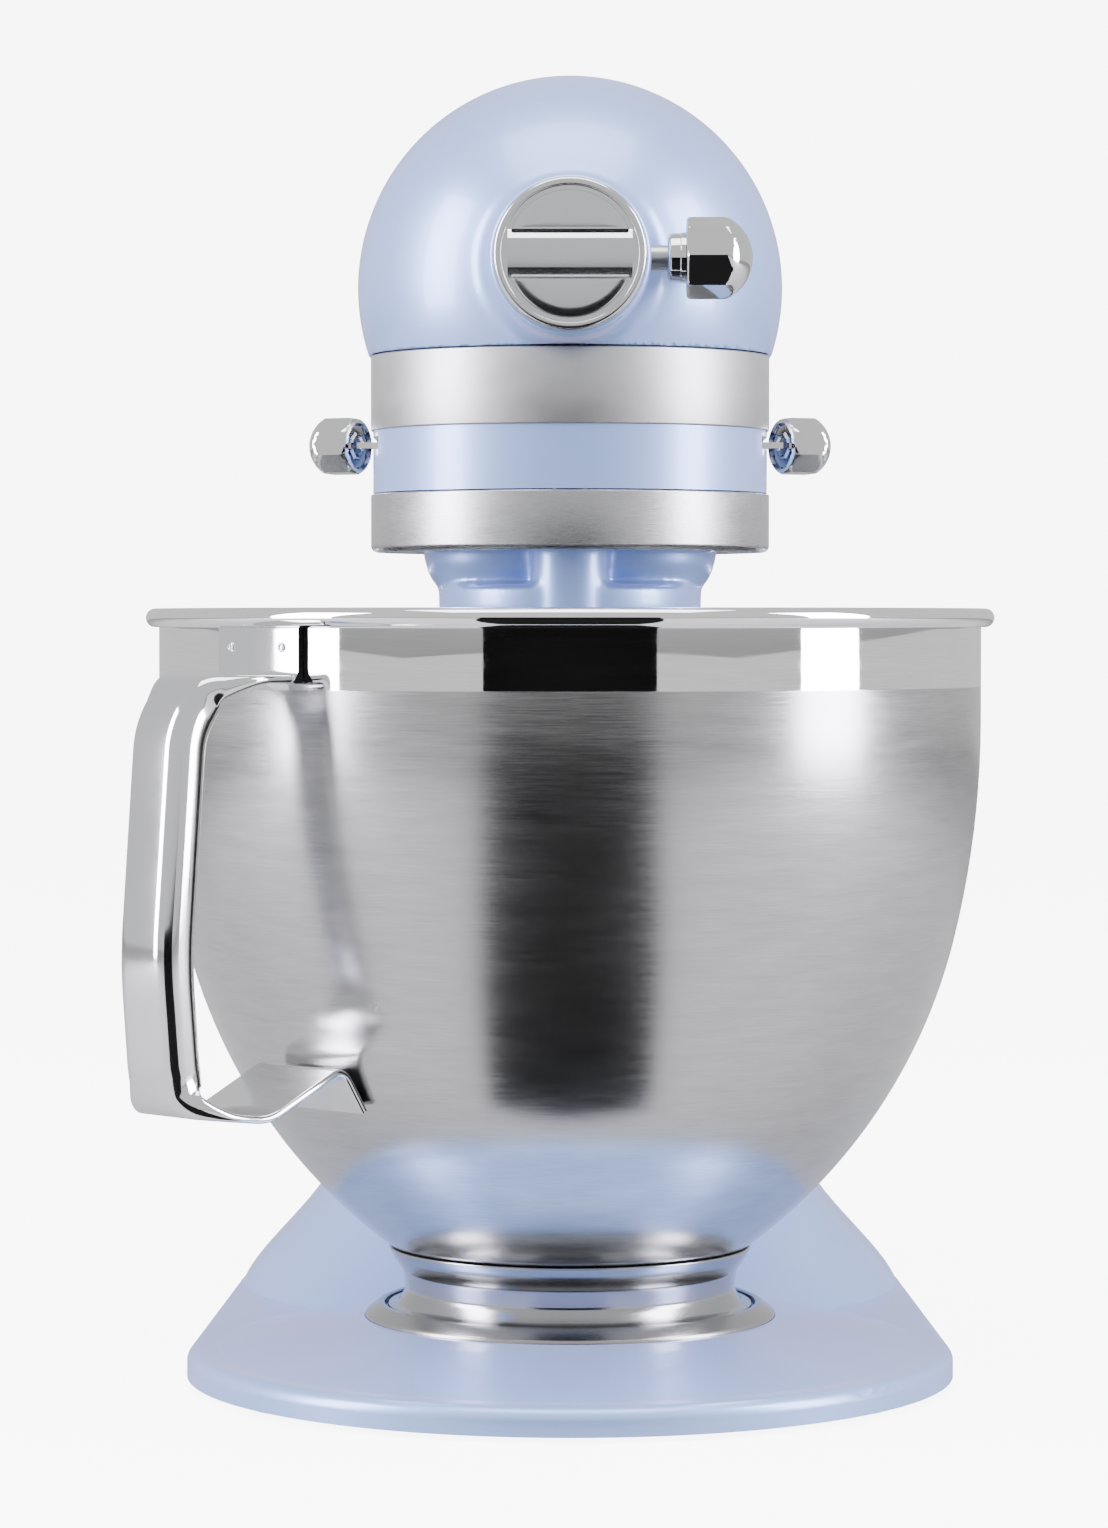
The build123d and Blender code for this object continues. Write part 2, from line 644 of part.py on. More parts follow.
def planetary_housing():
    disc = rod_z(DISC_R, 0, 0, DISC_LOW, DISC_TOP)
    lobes = Pos(0, 0, 209) * extrude(RectangleRounded(78, 50, 24.9), 15)
    lobes = fillet(lobes.edges().group_by(Axis.Z)[0], 11)
    boss = rod_z(10.2, 0, -PLANET_OFFSET, 198, 224)
    boss = fillet(boss.edges().group_by(Axis.Z)[0], 1.5)
    skirt = rod_z(35, 0, 0, 203, 212)
    skirt = fillet(skirt.edges().group_by(Axis.Z)[0], 2)
    body = disc + lobes + boss + skirt
    body += rod_z(9.8, 0, 0, 230, 243.6)
    body -= rod_z(AGITATOR_R + RUN_FIT, 0, -PLANET_OFFSET, 190, 240)
    body -= rod_z(SHAFT_R, 0, 0, SHAFT_LOW, 250)
    return body - rod_x(PIN_R, 0, PIN_Z, -60, 60)


def drip_ring():
    outer, inner = DISC_R, 49.5
    return turned([(inner, 220.8), (51.0, 220.8), (52.4, 221.5), (BARREL_R, 223.0), (BARREL_R, DISC_TOP),
                   (outer, DISC_TOP), (outer, DISC_LOW), (inner, DISC_LOW)])


def planetary_pin():
    return rod_x(PIN_R, 0, PIN_Z, -30, 30)


def centre_shaft():
    return rod_z(SHAFT_R, 0, 0, SHAFT_LOW, BEVEL_Z) - rod_x(PIN_R, 0, PIN_Z, -60, 60)


def centre_gear():
    return spur_gear(CENTRE_TEETH, TRAIN_MODULE, SHAFT_R, 255, 263, counter_bearing())


def counter_bearing():
    return math.degrees(math.atan2(COUNTER_Y, COUNTER_X))


def bevel_crown():
    # a 45 degree crown, its large end down
    large = tooth_outline(BEVEL_TEETH, BEVEL_R - 2.2, BEVEL_R, 0)
    small = Pos(0, 0, BEVEL_FACE) * scale(large, (BEVEL_R - BEVEL_FACE) / BEVEL_R)
    return loft([large, small])


def centre_bevel():
    gear = Pos(0, 0, BEVEL_Z) * bevel_crown() + rod_z(8, 0, 0, BEVEL_Z - 2.8, BEVEL_Z)
    return gear - rod_z(SHAFT_R, 0, 0, BEVEL_Z - 4, BEVEL_Z)


def agitator_shaft():
    shaft = rod_z(AGITATOR_R, 0, -PLANET_OFFSET, AGITATOR_TIP, CASE_FLOOR - 0.3)
    return shaft - rod_x(PIN_R, -PLANET_OFFSET, CROSS_PIN_Z, -20, 20)


def agitator_cross_pin():
    return rod_x(PIN_R, -PLANET_OFFSET, CROSS_PIN_Z, -9.5, 9.5)


def planet_pinion():
    gear = spur_gear(PLANET_TEETH, GEAR_MODULE, AGITATOR_R, 237.3, CASE_FLOOR - 0.5, -90)
    return Pos(0, -PLANET_OFFSET, 0) * gear


def countershaft():
    return rod_z(COUNTER_R, COUNTER_X, COUNTER_Y, 245.5, 304)


def counter_pinion():
    gap = counter_bearing() + 180 + 180.0 / PINION_TEETH
    gear = spur_gear(PINION_TEETH, TRAIN_MODULE, COUNTER_R, 254, 264, gap)
    return Pos(COUNTER_X, COUNTER_Y, 0) * gear


def worm_wheel():
    return Pos(COUNTER_X, COUNTER_Y, 0) * spur_gear(WHEEL_TEETH, TRAIN_MODULE, COUNTER_R, 290, 299, 0)


def armature_shaft():
    shaft = rod_y(ARMATURE_SHAFT_R, 0, DRIVE_Z, 14, 212)
    ridges = [rod_y(5.4, 0, DRIVE_Z, 15 + 3.2 * turn, 16.6 + 3.2 * turn) for turn in range(6)]
    for ridge in ridges:
        shaft += ridge
    return shaft


def armature_core():
    core = rod_y(ARMATURE_R, 0, DRIVE_Z, MOTOR_FRONT, MOTOR_REAR)
    middle = (MOTOR_FRONT + MOTOR_REAR) / 2
    for slot in range(12):
        x, z = polar(ARMATURE_R, 30 * slot)
        core -= Pos(x, middle, DRIVE_Z + z) * Rot(0, -30 * slot, 0) * Box(6, 50, 2)
    return core - rod_y(ARMATURE_SHAFT_R, 0, DRIVE_Z, 100, 170)


def commutator():
    drum = rod_y(13, 0, DRIVE_Z, BRUSH_Y - 9, BRUSH_Y + 9)
    return drum - rod_y(ARMATURE_SHAFT_R, 0, DRIVE_Z, 160, 200)


def cooling_fan():
    fan = rod_y(10, 0, DRIVE_Z, 86, 98) + rod_y(30, 0, DRIVE_Z, 86, 88)
    for blade in range(8):
        fan += Pos(0, 93, DRIVE_Z) * Rot(0, 45 * blade, 0) * Pos(19, 0, 0) * Box(20, 10, 1.2)
    return fan - rod_y(ARMATURE_SHAFT_R, 0, DRIVE_Z, 80, 110)


def hub_drive_shaft():
    shaft = rod_y(HUB_SHAFT_R, 0, DRIVE_Z, -53, HUB_BEVEL_Y + 0.4)
    return shaft - block(-2.6, 2.6, -54, -45, DRIVE_Z - 2.6, DRIVE_Z + 2.6)


def hub_bevel_gear():
    gear = Pos(0, HUB_BEVEL_Y, DRIVE_Z) * Rot(-90, 0, 0) * bevel_crown()
    gear += rod_y(8, 0, DRIVE_Z, HUB_BEVEL_Y - 3.1, HUB_BEVEL_Y)
    return gear - rod_y(HUB_SHAFT_R, 0, DRIVE_Z, -20, HUB_BEVEL_Y + 0.4)


# ---- controls -------------------------------------------------------------------------

def on_lever(shape, side):
    # a lever is drawn along +X from its pivot, then turned and mirrored to its side
    placed = Pos(LEVER_PIVOT_X, LEVER_PIVOT_Y, 0) * Rot(0, 0, LEVER_ANGLE) * shape
    return placed if side > 0 else mirror(placed, Plane.YZ)


def lever_arm():
    arm = block(0, LEVER_REACH, -LEVER_HALF, LEVER_HALF, LEVER_LOW, LEVER_HIGH)
    arm += rod_z(6, 0, 0, LEVER_LOW, LEVER_HIGH)
    return arm + rod_z(LEVER_PIN_R, 0, 0, 245, LEVER_LOW)


def faceted(radius, length, ball_r):
    # along +Z: eight flats that run out on a ball
    flats = extrude(RegularPolygon(radius, 8), length + 1)
    return flats & Pos(0, 0, length - ball_r) * Sphere(ball_r)


def lever_knob():
    middle = (LEVER_LOW + LEVER_HIGH) / 2
    knob = faceted(LEVER_KNOB_R, LEVER_KNOB_LONG, 8.9)
    knob = Pos(LEVER_KNOB_X, 0, middle) * Rot(0, 90, 0) * knob
    return knob - block(30, LEVER_REACH, -LEVER_HALF, LEVER_HALF, LEVER_LOW, LEVER_HIGH)


def speed_slider():
    low = CASE_DECK + 0.3
    return block(-14, 14, 206, 208.5, low, low + 4.7) + block(-4, 4, 208, 214, low, low + 3.7)


def lock_pin():
    return rod_y(LOCK_PIN_R, LOCK_PIN_X, LOCK_PIN_Z, 126, 158)


def attachment_knob():
    knob = rod_x(6.5, KNOB_Y, DRIVE_Z, KNOB_X - 4.8, KNOB_X)
    knob += Pos(KNOB_X, KNOB_Y, DRIVE_Z) * Rot(0, 90, 0) * faceted(KNOB_R, KNOB_LONG, 11.4)
    return knob - rod_x(KNOB_STUD_R, KNOB_Y, DRIVE_Z, 20, KNOB_X + 4)


def attachment_knob_screw():
    shank = rod_x(KNOB_SHANK_R, KNOB_Y, DRIVE_Z, 13.2, KNOB_X - 4.8)
    return shank + rod_x(KNOB_STUD_R, KNOB_Y, DRIVE_Z, 22, KNOB_X + 4)


def hub_cover():
    cover = rod_y(COVER_R, 0, DRIVE_Z, COVER_FRONT, COVER_BACK)
    cover = fillet(cover.edges().group_by(Axis.Y)[0], 1.2)
    cover -= rod_y(COVER_GROOVE_R, 0, DRIVE_Z, COVER_FRONT - 1, -75.5)
    disc = rod_y(COVER_DISC_R, 0, DRIVE_Z, -77, -75)
    disc += rod_y(COVER_DISC_R, 0, DRIVE_Z, -79, -75) & Pos(0, -30, DRIVE_Z) * Sphere(48)
    bar_line = Polyline((-78.4, COVER_BAR), (-75, COVER_BAR + 2.4), (-75, -COVER_BAR - 2.4),
                        (-78.4, -COVER_BAR), close=True)
    bar = Pos(0, 0, DRIVE_Z) * extrude(Plane.YZ * make_face(bar_line), 17.4, both=True)
    cover += disc + bar
    cover -= block(-6, 6, COVER_PIVOT_Y - 1.8, HUB_FACE, COVER_PIVOT_Z - 1.8, DRIVE_Z + 20)
    lug = rod_x(COVER_EAR_R, COVER_PIVOT_Y, COVER_PIVOT_Z, -2.9, 2.9)
    lug += block(-2.9, 2.9, COVER_PIVOT_Y - 1.9, COVER_PIVOT_Y, COVER_PIVOT_Z - 2, COVER_PIVOT_Z + 0.5)
    return cover + lug - rod_x(COVER_PIN_R + RUN_FIT, COVER_PIVOT_Y, COVER_PIVOT_Z, -8, 8)


PIECES = [
    base_casting, column_casting, rubber_feet, clamp_plate, clamp_plate_screws, column_bolts, hinge_pin,
    head_rest_screw, head_upper_housing, gearcase, trim_band, rear_cover, rear_cover_screw,
    cord_inlet_grommet, hub_sleeve, hub_cover_hinge_pin, housing_screws, ring_gear, ring_gear_screws,
    centre_bearing, motor_stator, stator_coils, front_bearing, rear_bearing_bracket, brush_holders,
    carbon_brushes, brush_caps, speed_control_board, planetary_housing, drip_ring, planetary_pin,
    centre_shaft, centre_gear, centre_bevel, agitator_shaft, agitator_cross_pin, planet_pinion,
    countershaft, counter_pinion, worm_wheel, armature_shaft, armature_core, commutator, cooling_fan,
    hub_drive_shaft, hub_bevel_gear, speed_slider, lock_pin, attachment_knob, attachment_knob_screw,
    hub_cover, bowl_foot, bowl_shell, bowl_handle,
]
nodes = {make.__name__: make() for make in PIECES}
for name, side in (("speed", 1), ("lock", -1)):
    nodes[f"{name}_lever_arm"] = on_lever(lever_arm(), side)
    nodes[f"{name}_knob"] = on_lever(lever_knob(), side)

os.makedirs("parts", exist_ok=True)
for name, shape in nodes.items():
    export_step(Pos(0, AXIS_Y, 0) * shape, f"parts/{name}.step")
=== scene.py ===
import json
import math

import bmesh
import bpy
from mathutils import Matrix, Vector


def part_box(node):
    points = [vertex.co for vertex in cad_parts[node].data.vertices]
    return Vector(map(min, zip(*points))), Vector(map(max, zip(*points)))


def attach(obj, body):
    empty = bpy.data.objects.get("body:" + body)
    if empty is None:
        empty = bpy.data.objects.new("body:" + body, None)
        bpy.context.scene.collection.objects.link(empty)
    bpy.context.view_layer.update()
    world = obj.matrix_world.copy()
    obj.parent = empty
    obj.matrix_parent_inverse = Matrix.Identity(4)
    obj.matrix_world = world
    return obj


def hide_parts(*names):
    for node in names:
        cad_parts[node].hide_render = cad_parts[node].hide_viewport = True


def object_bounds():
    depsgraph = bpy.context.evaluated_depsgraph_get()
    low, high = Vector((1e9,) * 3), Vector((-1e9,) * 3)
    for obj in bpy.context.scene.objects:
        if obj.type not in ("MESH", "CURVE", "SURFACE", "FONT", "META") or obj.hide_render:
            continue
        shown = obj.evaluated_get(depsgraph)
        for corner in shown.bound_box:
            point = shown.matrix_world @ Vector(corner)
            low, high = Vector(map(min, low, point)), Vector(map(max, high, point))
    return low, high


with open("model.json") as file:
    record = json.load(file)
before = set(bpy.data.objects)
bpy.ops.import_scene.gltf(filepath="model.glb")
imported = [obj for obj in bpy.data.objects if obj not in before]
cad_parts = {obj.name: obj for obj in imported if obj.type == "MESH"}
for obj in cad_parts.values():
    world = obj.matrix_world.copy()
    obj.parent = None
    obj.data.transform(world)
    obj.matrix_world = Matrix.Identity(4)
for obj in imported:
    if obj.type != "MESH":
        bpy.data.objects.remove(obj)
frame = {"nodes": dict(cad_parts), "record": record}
cad_low, cad_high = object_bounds()
nodes = frame["nodes"]

# ---- sizes, in metres -----------------------------------------------------------------
MM = 0.001


def middle(node):
    low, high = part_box(node)
    return (low + high) / 2


AXIS = middle("drip_ring")
AXIS.z = 0
HUB = middle("hub_sleeve")
BAND_LOW, BAND_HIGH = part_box("trim_band")[0].z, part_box("trim_band")[1].z
BARREL_R = (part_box("drip_ring")[1].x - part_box("drip_ring")[0].x) / 2
HEAD_R = 56.5 * MM
SPLIT_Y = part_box("rear_cover")[0].y - AXIS.y
TAIL_Y = 246 * MM
BOWL_WALL_R = 109.4 * MM
POLISH_Z = 185.3 * MM
CAMERA_DISTANCE = 1.225
CAMERA_HEIGHT = 0.2022
CAMERA_TILT, CAMERA_YAW = 1.77, 0.2


# ---- mesh helpers ---------------------------------------------------------------------

def polar(radius, degrees):
    turn = math.radians(degrees)
    return radius * math.cos(turn), radius * math.sin(turn)


def arc(centre, radius, start, stop, steps=12):
    """Points on an arc, angles in degrees."""
    points = []
    for step in range(steps + 1):
        dx, dy = polar(radius, start + (stop - start) * step / steps)
        points.append((centre[0] + dx, centre[1] + dy))
    return points


def rounded(corners, closed=False, steps=5):
    """A polyline whose corners are (x, y) or (x, y, radius); a radius becomes an arc."""
    line = []
    count = len(corners)
    for index, corner in enumerate(corners):
        at_end = not closed and index in (0, count - 1)
        if len(corner) == 2 or at_end:
            line.append(tuple(corner[:2]))
            continue
        here = Vector(corner[:2])
        before = Vector(corners[index - 1][:2]) - here
        after = Vector(corners[(index + 1) % count][:2]) - here
        half = before.angle(after) / 2
        reach = min(corner[2] / math.tan(half), 0.49 * before.length, 0.49 * after.length)
        radius = reach * math.tan(half)
        start, stop = here + before.normalized() * reach, here + after.normalized() * reach
        centre = here + (before.normalized() + after.normalized()).normalized() * (radius / math.sin(half))
        for step in range(steps + 1):
            ray = (start - centre).slerp(stop - centre, step / steps, start - centre).normalized()
            line.append(tuple(centre + ray * radius))
    return line


def new_piece(name, bm, crease=32):
    """Makes an object of a bmesh, smooth shaded but for its creases."""
    bmesh.ops.recalc_face_normals(bm, faces=bm.faces)
    for face in bm.faces:
        face.smooth = True
    for edge in bm.edges:
        if len(edge.link_faces) == 2 and edge.calc_face_angle() > math.radians(crease):
            edge.smooth = False
    mesh = bpy.data.meshes.new(name)
    bm.to_mesh(mesh)
    bm.free()
    piece = bpy.data.objects.new(name, mesh)
    bpy.context.scene.collection.objects.link(piece)
    return piece


def skin(rings, closed=True, caps=True):
    """A bmesh of quads through rings of points, each ring closed on itself."""
    bm = bmesh.new()
    loops = [[bm.verts.new(point) for point in ring] for ring in rings]
    pairs = list(zip(loops, loops[1:]))
    if closed:
        pairs.append((loops[-1], loops[0]))
    count = len(loops[0])
    for low, high in pairs:
        for index in range(count):
            after = (index + 1) % count
            bm.faces.new((low[index], low[after], high[after], high[index]))
    if caps and not closed:
        bm.faces.new(loops[0])
        bm.faces.new(list(reversed(loops[-1])))
    return bm


def lathe(profile, origin, axis=(0, 0, 1), turns=160, closed=False):
    """Turns (radius, height) points about an axis through origin."""
    spin = Vector((0, 0, 1)).rotation_difference(Vector(axis)).to_matrix()
    bm = bmesh.new()
    loops = []
    for radius, height in profile:
        if radius < 1e-6:
            loops.append([bm.verts.new(origin + spin @ Vector((0, 0, height)))])
            continue
        ring = []
        for turn in range(turns):
            x, y = polar(radius, 360 * turn / turns)
            ring.append(bm.verts.new(origin + spin @ Vector((x, y, height))))
        loops.append(ring)
    pairs = list(zip(loops, loops[1:]))
    if closed:
        pairs.append((loops[-1], loops[0]))
    for first, second in pairs:
        for turn in range(turns):
            after = (turn + 1) % turns
            corners = [first[turn % len(first)], first[after % len(first)],
                       second[after % len(second)], second[turn % len(second)]]
            unique = list(dict.fromkeys(corners))
            if len(unique) > 2:
                bm.faces.new(unique)
    return bm


def join(parts):
    """Puts several bmeshes into one."""
    whole = bmesh.new()
    for part in parts:
        mesh = bpy.data.meshes.new("part")
        part.to_mesh(mesh)
        part.free()
        whole.from_mesh(mesh)
        bpy.data.meshes.remove(mesh)
    return whole


def settle(piece, body, slot, material, *replaced):
    """Gives a piece its material and body, and hides the CAD nodes it stands for. The slot argument is not
    used.
    """
    piece.data.materials.clear()
    piece.data.materials.append(material)
    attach(piece, body)
    if replaced:
        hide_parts(*replaced)
    return piece


# ---- materials ------------------------------------------------------------------------

class Shade:
    """A principled material and short ways to add its nodes."""

    def __init__(self, name, **constants):
        self.material = bpy.data.materials.new(name)
        self.material.use_nodes = True
        self.tree = self.material.node_tree
        self.shader = self.tree.nodes["Principled BSDF"]
        for socket, value in constants.items():
            self.shader.inputs[socket.replace("_", " ")].default_value = value
        self.place = self.add("ShaderNodeTexCoord").outputs["Object"]

    def add(self, kind, **settings):
        node = self.tree.nodes.new(kind)
        for key, value in settings.items():
            setattr(node, key, value)
        return node

    def link(self, source, target):
        self.tree.links.new(source, target)

    def stretched(self, scale):
        mapping = self.add("ShaderNodeMapping")
        mapping.inputs["Scale"].default_value = scale
        self.link(self.place, mapping.inputs["Vector"])
        return mapping.outputs["Vector"]

    def noise(self, vector, scale, detail=3.0, roughness=0.5):
        node = self.add("ShaderNodeTexNoise")
        node.inputs["Scale"].default_value = scale
        node.inputs["Detail"].default_value = detail
        node.inputs["Roughness"].default_value = roughness
        self.link(vector, node.inputs["Vector"])
        return node.outputs["Fac"]

    def span(self, value, low, high, from_low=0.0, from_high=1.0):
        node = self.add("ShaderNodeMapRange", clamp=True)
        node.inputs["From Min"].default_value = from_low
        node.inputs["From Max"].default_value = from_high
        node.inputs["To Min"].default_value = low
        node.inputs["To Max"].default_value = high
        self.link(value, node.inputs["Value"])
        return node.outputs["Result"]

    def math(self, operation, first, second):
        node = self.add("ShaderNodeMath", operation=operation)
        for value, socket in ((first, node.inputs[0]), (second, node.inputs[1])):
            if isinstance(value, (int, float)):
                socket.default_value = value
            else:
                self.link(value, socket)
        return node.outputs[0]

    def between(self, factor, first, second):
        node = self.add("ShaderNodeMix", data_type="RGBA")
        node.inputs["A"].default_value = (*first, 1)
        node.inputs["B"].default_value = (*second, 1)
        self.link(factor, node.inputs["Factor"])
        return node.outputs["Result"]

    def cylinder_place(self, along, around):
        """Coordinates wrapped round the mixer's vertical axis: (angle times around, height times along, 0).
        """
        split = self.add("ShaderNodeSeparateXYZ")
        self.link(self.place, split.inputs[0])
        y = self.math("SUBTRACT", split.outputs["Y"], AXIS.y)
        angle = self.math("ARCTAN2", y, split.outputs["X"])
        join_node = self.add("ShaderNodeCombineXYZ")
        self.link(self.math("MULTIPLY", angle, around), join_node.inputs["X"])
        self.link(self.math("MULTIPLY", split.outputs["Z"], along), join_node.inputs["Y"])
        return join_node.outputs[0]

    def bump(self, height, distance, strength):
        node = self.add("ShaderNodeBump")
        node.inputs["Strength"].default_value = strength
        node.inputs["Distance"].default_value = distance
        self.link(height, node.inputs["Height"])
        return node.outputs["Normal"]

    def set(self, socket, source):
        self.link(source, self.shader.inputs[socket])


def paint():
    """Light blue pearl enamel: fine flakes, a soft cloudiness and a clear coat with a faint orange peel."""
    shade = Shade("pearl_enamel", Metallic=0.42, Coat_Weight=0.5, Coat_Roughness=0.07, Coat_IOR=1.5,
                  Specular_IOR_Level=0.6, Sheen_Weight=0.35, Sheen_Roughness=0.35)
    shade.shader.inputs["Sheen Tint"].default_value = (0.72, 0.62, 1.0, 1)
    shade.shader.inputs["Specular Tint"].default_value = (0.86, 0.76, 1.0, 1)
    cloud = shade.noise(shade.place, 26.0, 2.0)
    flake = shade.noise(shade.place, 5200.0, 1.0)
    tone = shade.math("ADD", shade.math("MULTIPLY", cloud, 0.6), shade.math("MULTIPLY", flake, 0.4))
    depth = shade.span(tone, 0, 1, 0.3, 0.7)
    shade.set("Base Color", shade.between(depth, (0.33, 0.50, 0.92), (0.40, 0.56, 0.98)))
    shade.set("Roughness", shade.span(flake, 0.30, 0.42, 0.3, 0.7))
    peel = shade.noise(shade.place, 420.0, 1.5)
    shade.set("Normal", shade.bump(flake, 0.00002, 0.35))
    shade.set("Coat Normal", shade.bump(peel, 0.00003, 0.25))
    return shade.material


def brushed(name, color, around=2.6, low=0.2, high=0.34, depth=0.6):
    """Steel brushed in fine lines round the vertical axis."""
    shade = Shade(name, Metallic=1.0, Anisotropic=0.55)
    fine = shade.noise(shade.cylinder_place(900, around), 10.0, 4.0, 0.65)
    broad = shade.noise(shade.cylinder_place(55, 1.2), 4.0, 3.0)
    line = shade.math("ADD", shade.math("MULTIPLY", fine, 0.75), shade.math("MULTIPLY", broad, 0.25))
    shade.set("Roughness", shade.span(line, low, high, 0.3, 0.7))
    darker = tuple(channel * 0.88 for channel in color)
    shade.set("Base Color", shade.between(shade.span(line, 0, 1, 0.3, 0.7), darker, color))
    shade.set("Normal", shade.bump(fine, 0.00002, depth))
    return shade.material


def bowl_steel(low_z, high_z):
    """The bowl: fine horizontal brushing below, a mirror polished band and rim above."""
    shade = Shade("bowl_steel", Metallic=1.0, Anisotropic=0.35)
    split = shade.add("ShaderNodeSeparateXYZ")
    shade.link(shade.place, split.inputs[0])
    mask = shade.span(split.outputs["Z"], 0.0, 1.0, low_z, high_z)
    fine = shade.noise(shade.cylinder_place(420, 0.7), 10.0, 4.0, 0.65)
    smear = shade.noise(shade.cylinder_place(60, 1.0), 5.0, 3.0)
    line = shade.math("ADD", shade.math("MULTIPLY", fine, 0.7), shade.math("MULTIPLY", smear, 0.3))
    satin = shade.span(line, 0.17, 0.25, 0.3, 0.7)
    gloss = shade.span(smear, 0.015, 0.045, 0.3, 0.7)
    rough = shade.add("ShaderNodeMix", data_type="FLOAT")
    shade.link(mask, rough.inputs["Factor"])
    shade.link(satin, rough.inputs["A"])
    shade.link(gloss, rough.inputs["B"])
    shade.set("Roughness", rough.outputs["Result"])
    tint = shade.span(line, 0.44, 0.64, 0.3, 0.7)
    bright = shade.math("ADD", tint, shade.math("MULTIPLY", mask, 0.38))
    color = shade.add("ShaderNodeCombineColor")
    for channel in ("Red", "Green", "Blue"):
        shade.link(bright, color.inputs[channel])
    shade.set("Base Color", color.outputs[0])
    depth = shade.math("MULTIPLY", fine, shade.math("SUBTRACT", 1.0, mask))
    shade.set("Normal", shade.bump(depth, 0.00001, 0.5))
    return shade.material


def polished(name, color, low, high):
    """Plated or polished metal with faint smears and hair scratches."""
    shade = Shade(name, Metallic=1.0)
    smear = shade.noise(shade.place, 38.0, 3.0)
    scratch = shade.noise(shade.stretched((900, 60, 60)), 6.0, 2.0)
    shade.set("Roughness", shade.span(smear, low, high, 0.3, 0.7))
    darker = tuple(channel * 0.93 for channel in color)
    shade.set("Base Color", shade.between(smear, darker, color))
    shade.set("Normal", shade.bump(scratch, 0.000006, 0.25))
    return shade.material


def moulded(name, color, rough):
    """Moulded rubber or plastic with a fine grain."""
    shade = Shade(name, Specular_IOR_Level=0.4)
    grain = shade.noise(shade.place, 900.0, 3.0)
    dust = shade.noise(shade.place, 45.0, 2.0)
    lighter = tuple(channel * 1.6 + 0.004 for channel in color)
    shade.set("Base Color", shade.between(dust, color, lighter))
    shade.set("Roughness", shade.span(dust, rough - 0.07, rough + 0.07, 0.3, 0.7))
    shade.set("Normal", shade.bump(grain, 0.00005, 0.5))
    return shade.material


def machined(name, color, rough=0.32):
    """Turned or ground metal of the inner works."""
    shade = Shade(name, Metallic=1.0)
    ring = shade.noise(shade.stretched((1, 1, 30)), 160.0, 3.0)
    shade.set("Roughness", shade.span(ring, rough - 0.08, rough + 0.1, 0.3, 0.7))
    darker = tuple(channel * 0.75 for channel in color)
    shade.set("Base Color", shade.between(ring, darker, color))
    shade.set("Normal", shade.bump(ring, 0.00002, 0.4))
    return shade.material


PAINT = paint()
BAND_STEEL = brushed("band_steel", (0.56, 0.565, 0.57), low=0.30, high=0.40, depth=0.5)
RING_STEEL = brushed("ring_steel", (0.54, 0.545, 0.55), around=1.0, low=0.22, high=0.34, depth=0.5)
PLATE_STEEL = brushed("plate_steel", (0.42, 0.42, 0.43), low=0.16, high=0.26)
BOWL_STEEL = bowl_steel(POLISH_Z - 0.15 * MM, POLISH_Z + 0.15 * MM)
FOOT_STEEL = brushed("foot_steel", (0.42, 0.425, 0.44), low=0.12, high=0.2, depth=0.3)
HANDLE_STEEL = polished("handle_steel", (0.82, 0.825, 0.84), 0.05, 0.11)
CHROME = polished("knob_chrome", (0.80, 0.80, 0.81), 0.02, 0.05)
COVER_STEEL = polished("cover_steel", (0.74, 0.745, 0.76), 0.14, 0.2)
RUBBER = moulded("feet_rubber", (0.02, 0.02, 0.022), 0.7)
BLACK = moulded("black_plastic", (0.018, 0.018, 0.018), 0.45)
FINISH = {
    "body_paint": PAINT, "feet_rubber": RUBBER, "plate_steel": PLATE_STEEL,
    "screw_steel": machined("screw_steel", (0.62, 0.62, 0.63)),
    "shaft_steel": machined("shaft_steel", (0.66, 0.66, 0.67), 0.25), "band_steel": BAND_STEEL,
    "gear_steel": machined("gear_steel", (0.42, 0.42, 0.43)),
    "bearing_bronze": machined("bearing_bronze", (0.55, 0.36, 0.16)),
    "core_iron": machined("core_iron", (0.20, 0.20, 0.21), 0.45),
    "coil_copper": machined("coil_copper", (0.60, 0.26, 0.11)),
    "inner_aluminium": machined("inner_aluminium", (0.70, 0.70, 0.71), 0.4), "black_plastic": BLACK,
    "lever_steel": polished("lever_steel", (0.78, 0.78, 0.79), 0.06, 0.12), "knob_chrome": CHROME,
    "cover_steel": COVER_STEEL, "bowl_steel": BOWL_STEEL, "handle_steel": HANDLE_STEEL,
}
for subpart in frame["record"]["subparts"]:
    node = nodes[subpart["node"]]
    node.data.materials.clear()
    node.data.materials.append(FINISH[subpart["material_slot"]])


# ---- bowl -----------------------------------------------------------------------------

SHEET = 1.3 * MM
RIM_R, RIM_Z, ROLL = 110.4 * MM, 203.4 * MM, 2.5 * MM
UPPER_ARC, LOWER_ARC, HEEL_ARC = 244 * MM, 144.6 * MM, 25 * MM
WALL_FOOT_Z, STRAIGHT_Z = 176 * MM, 190 * MM
UPPER_TURN, LOWER_TURN = 13.8, 53.0


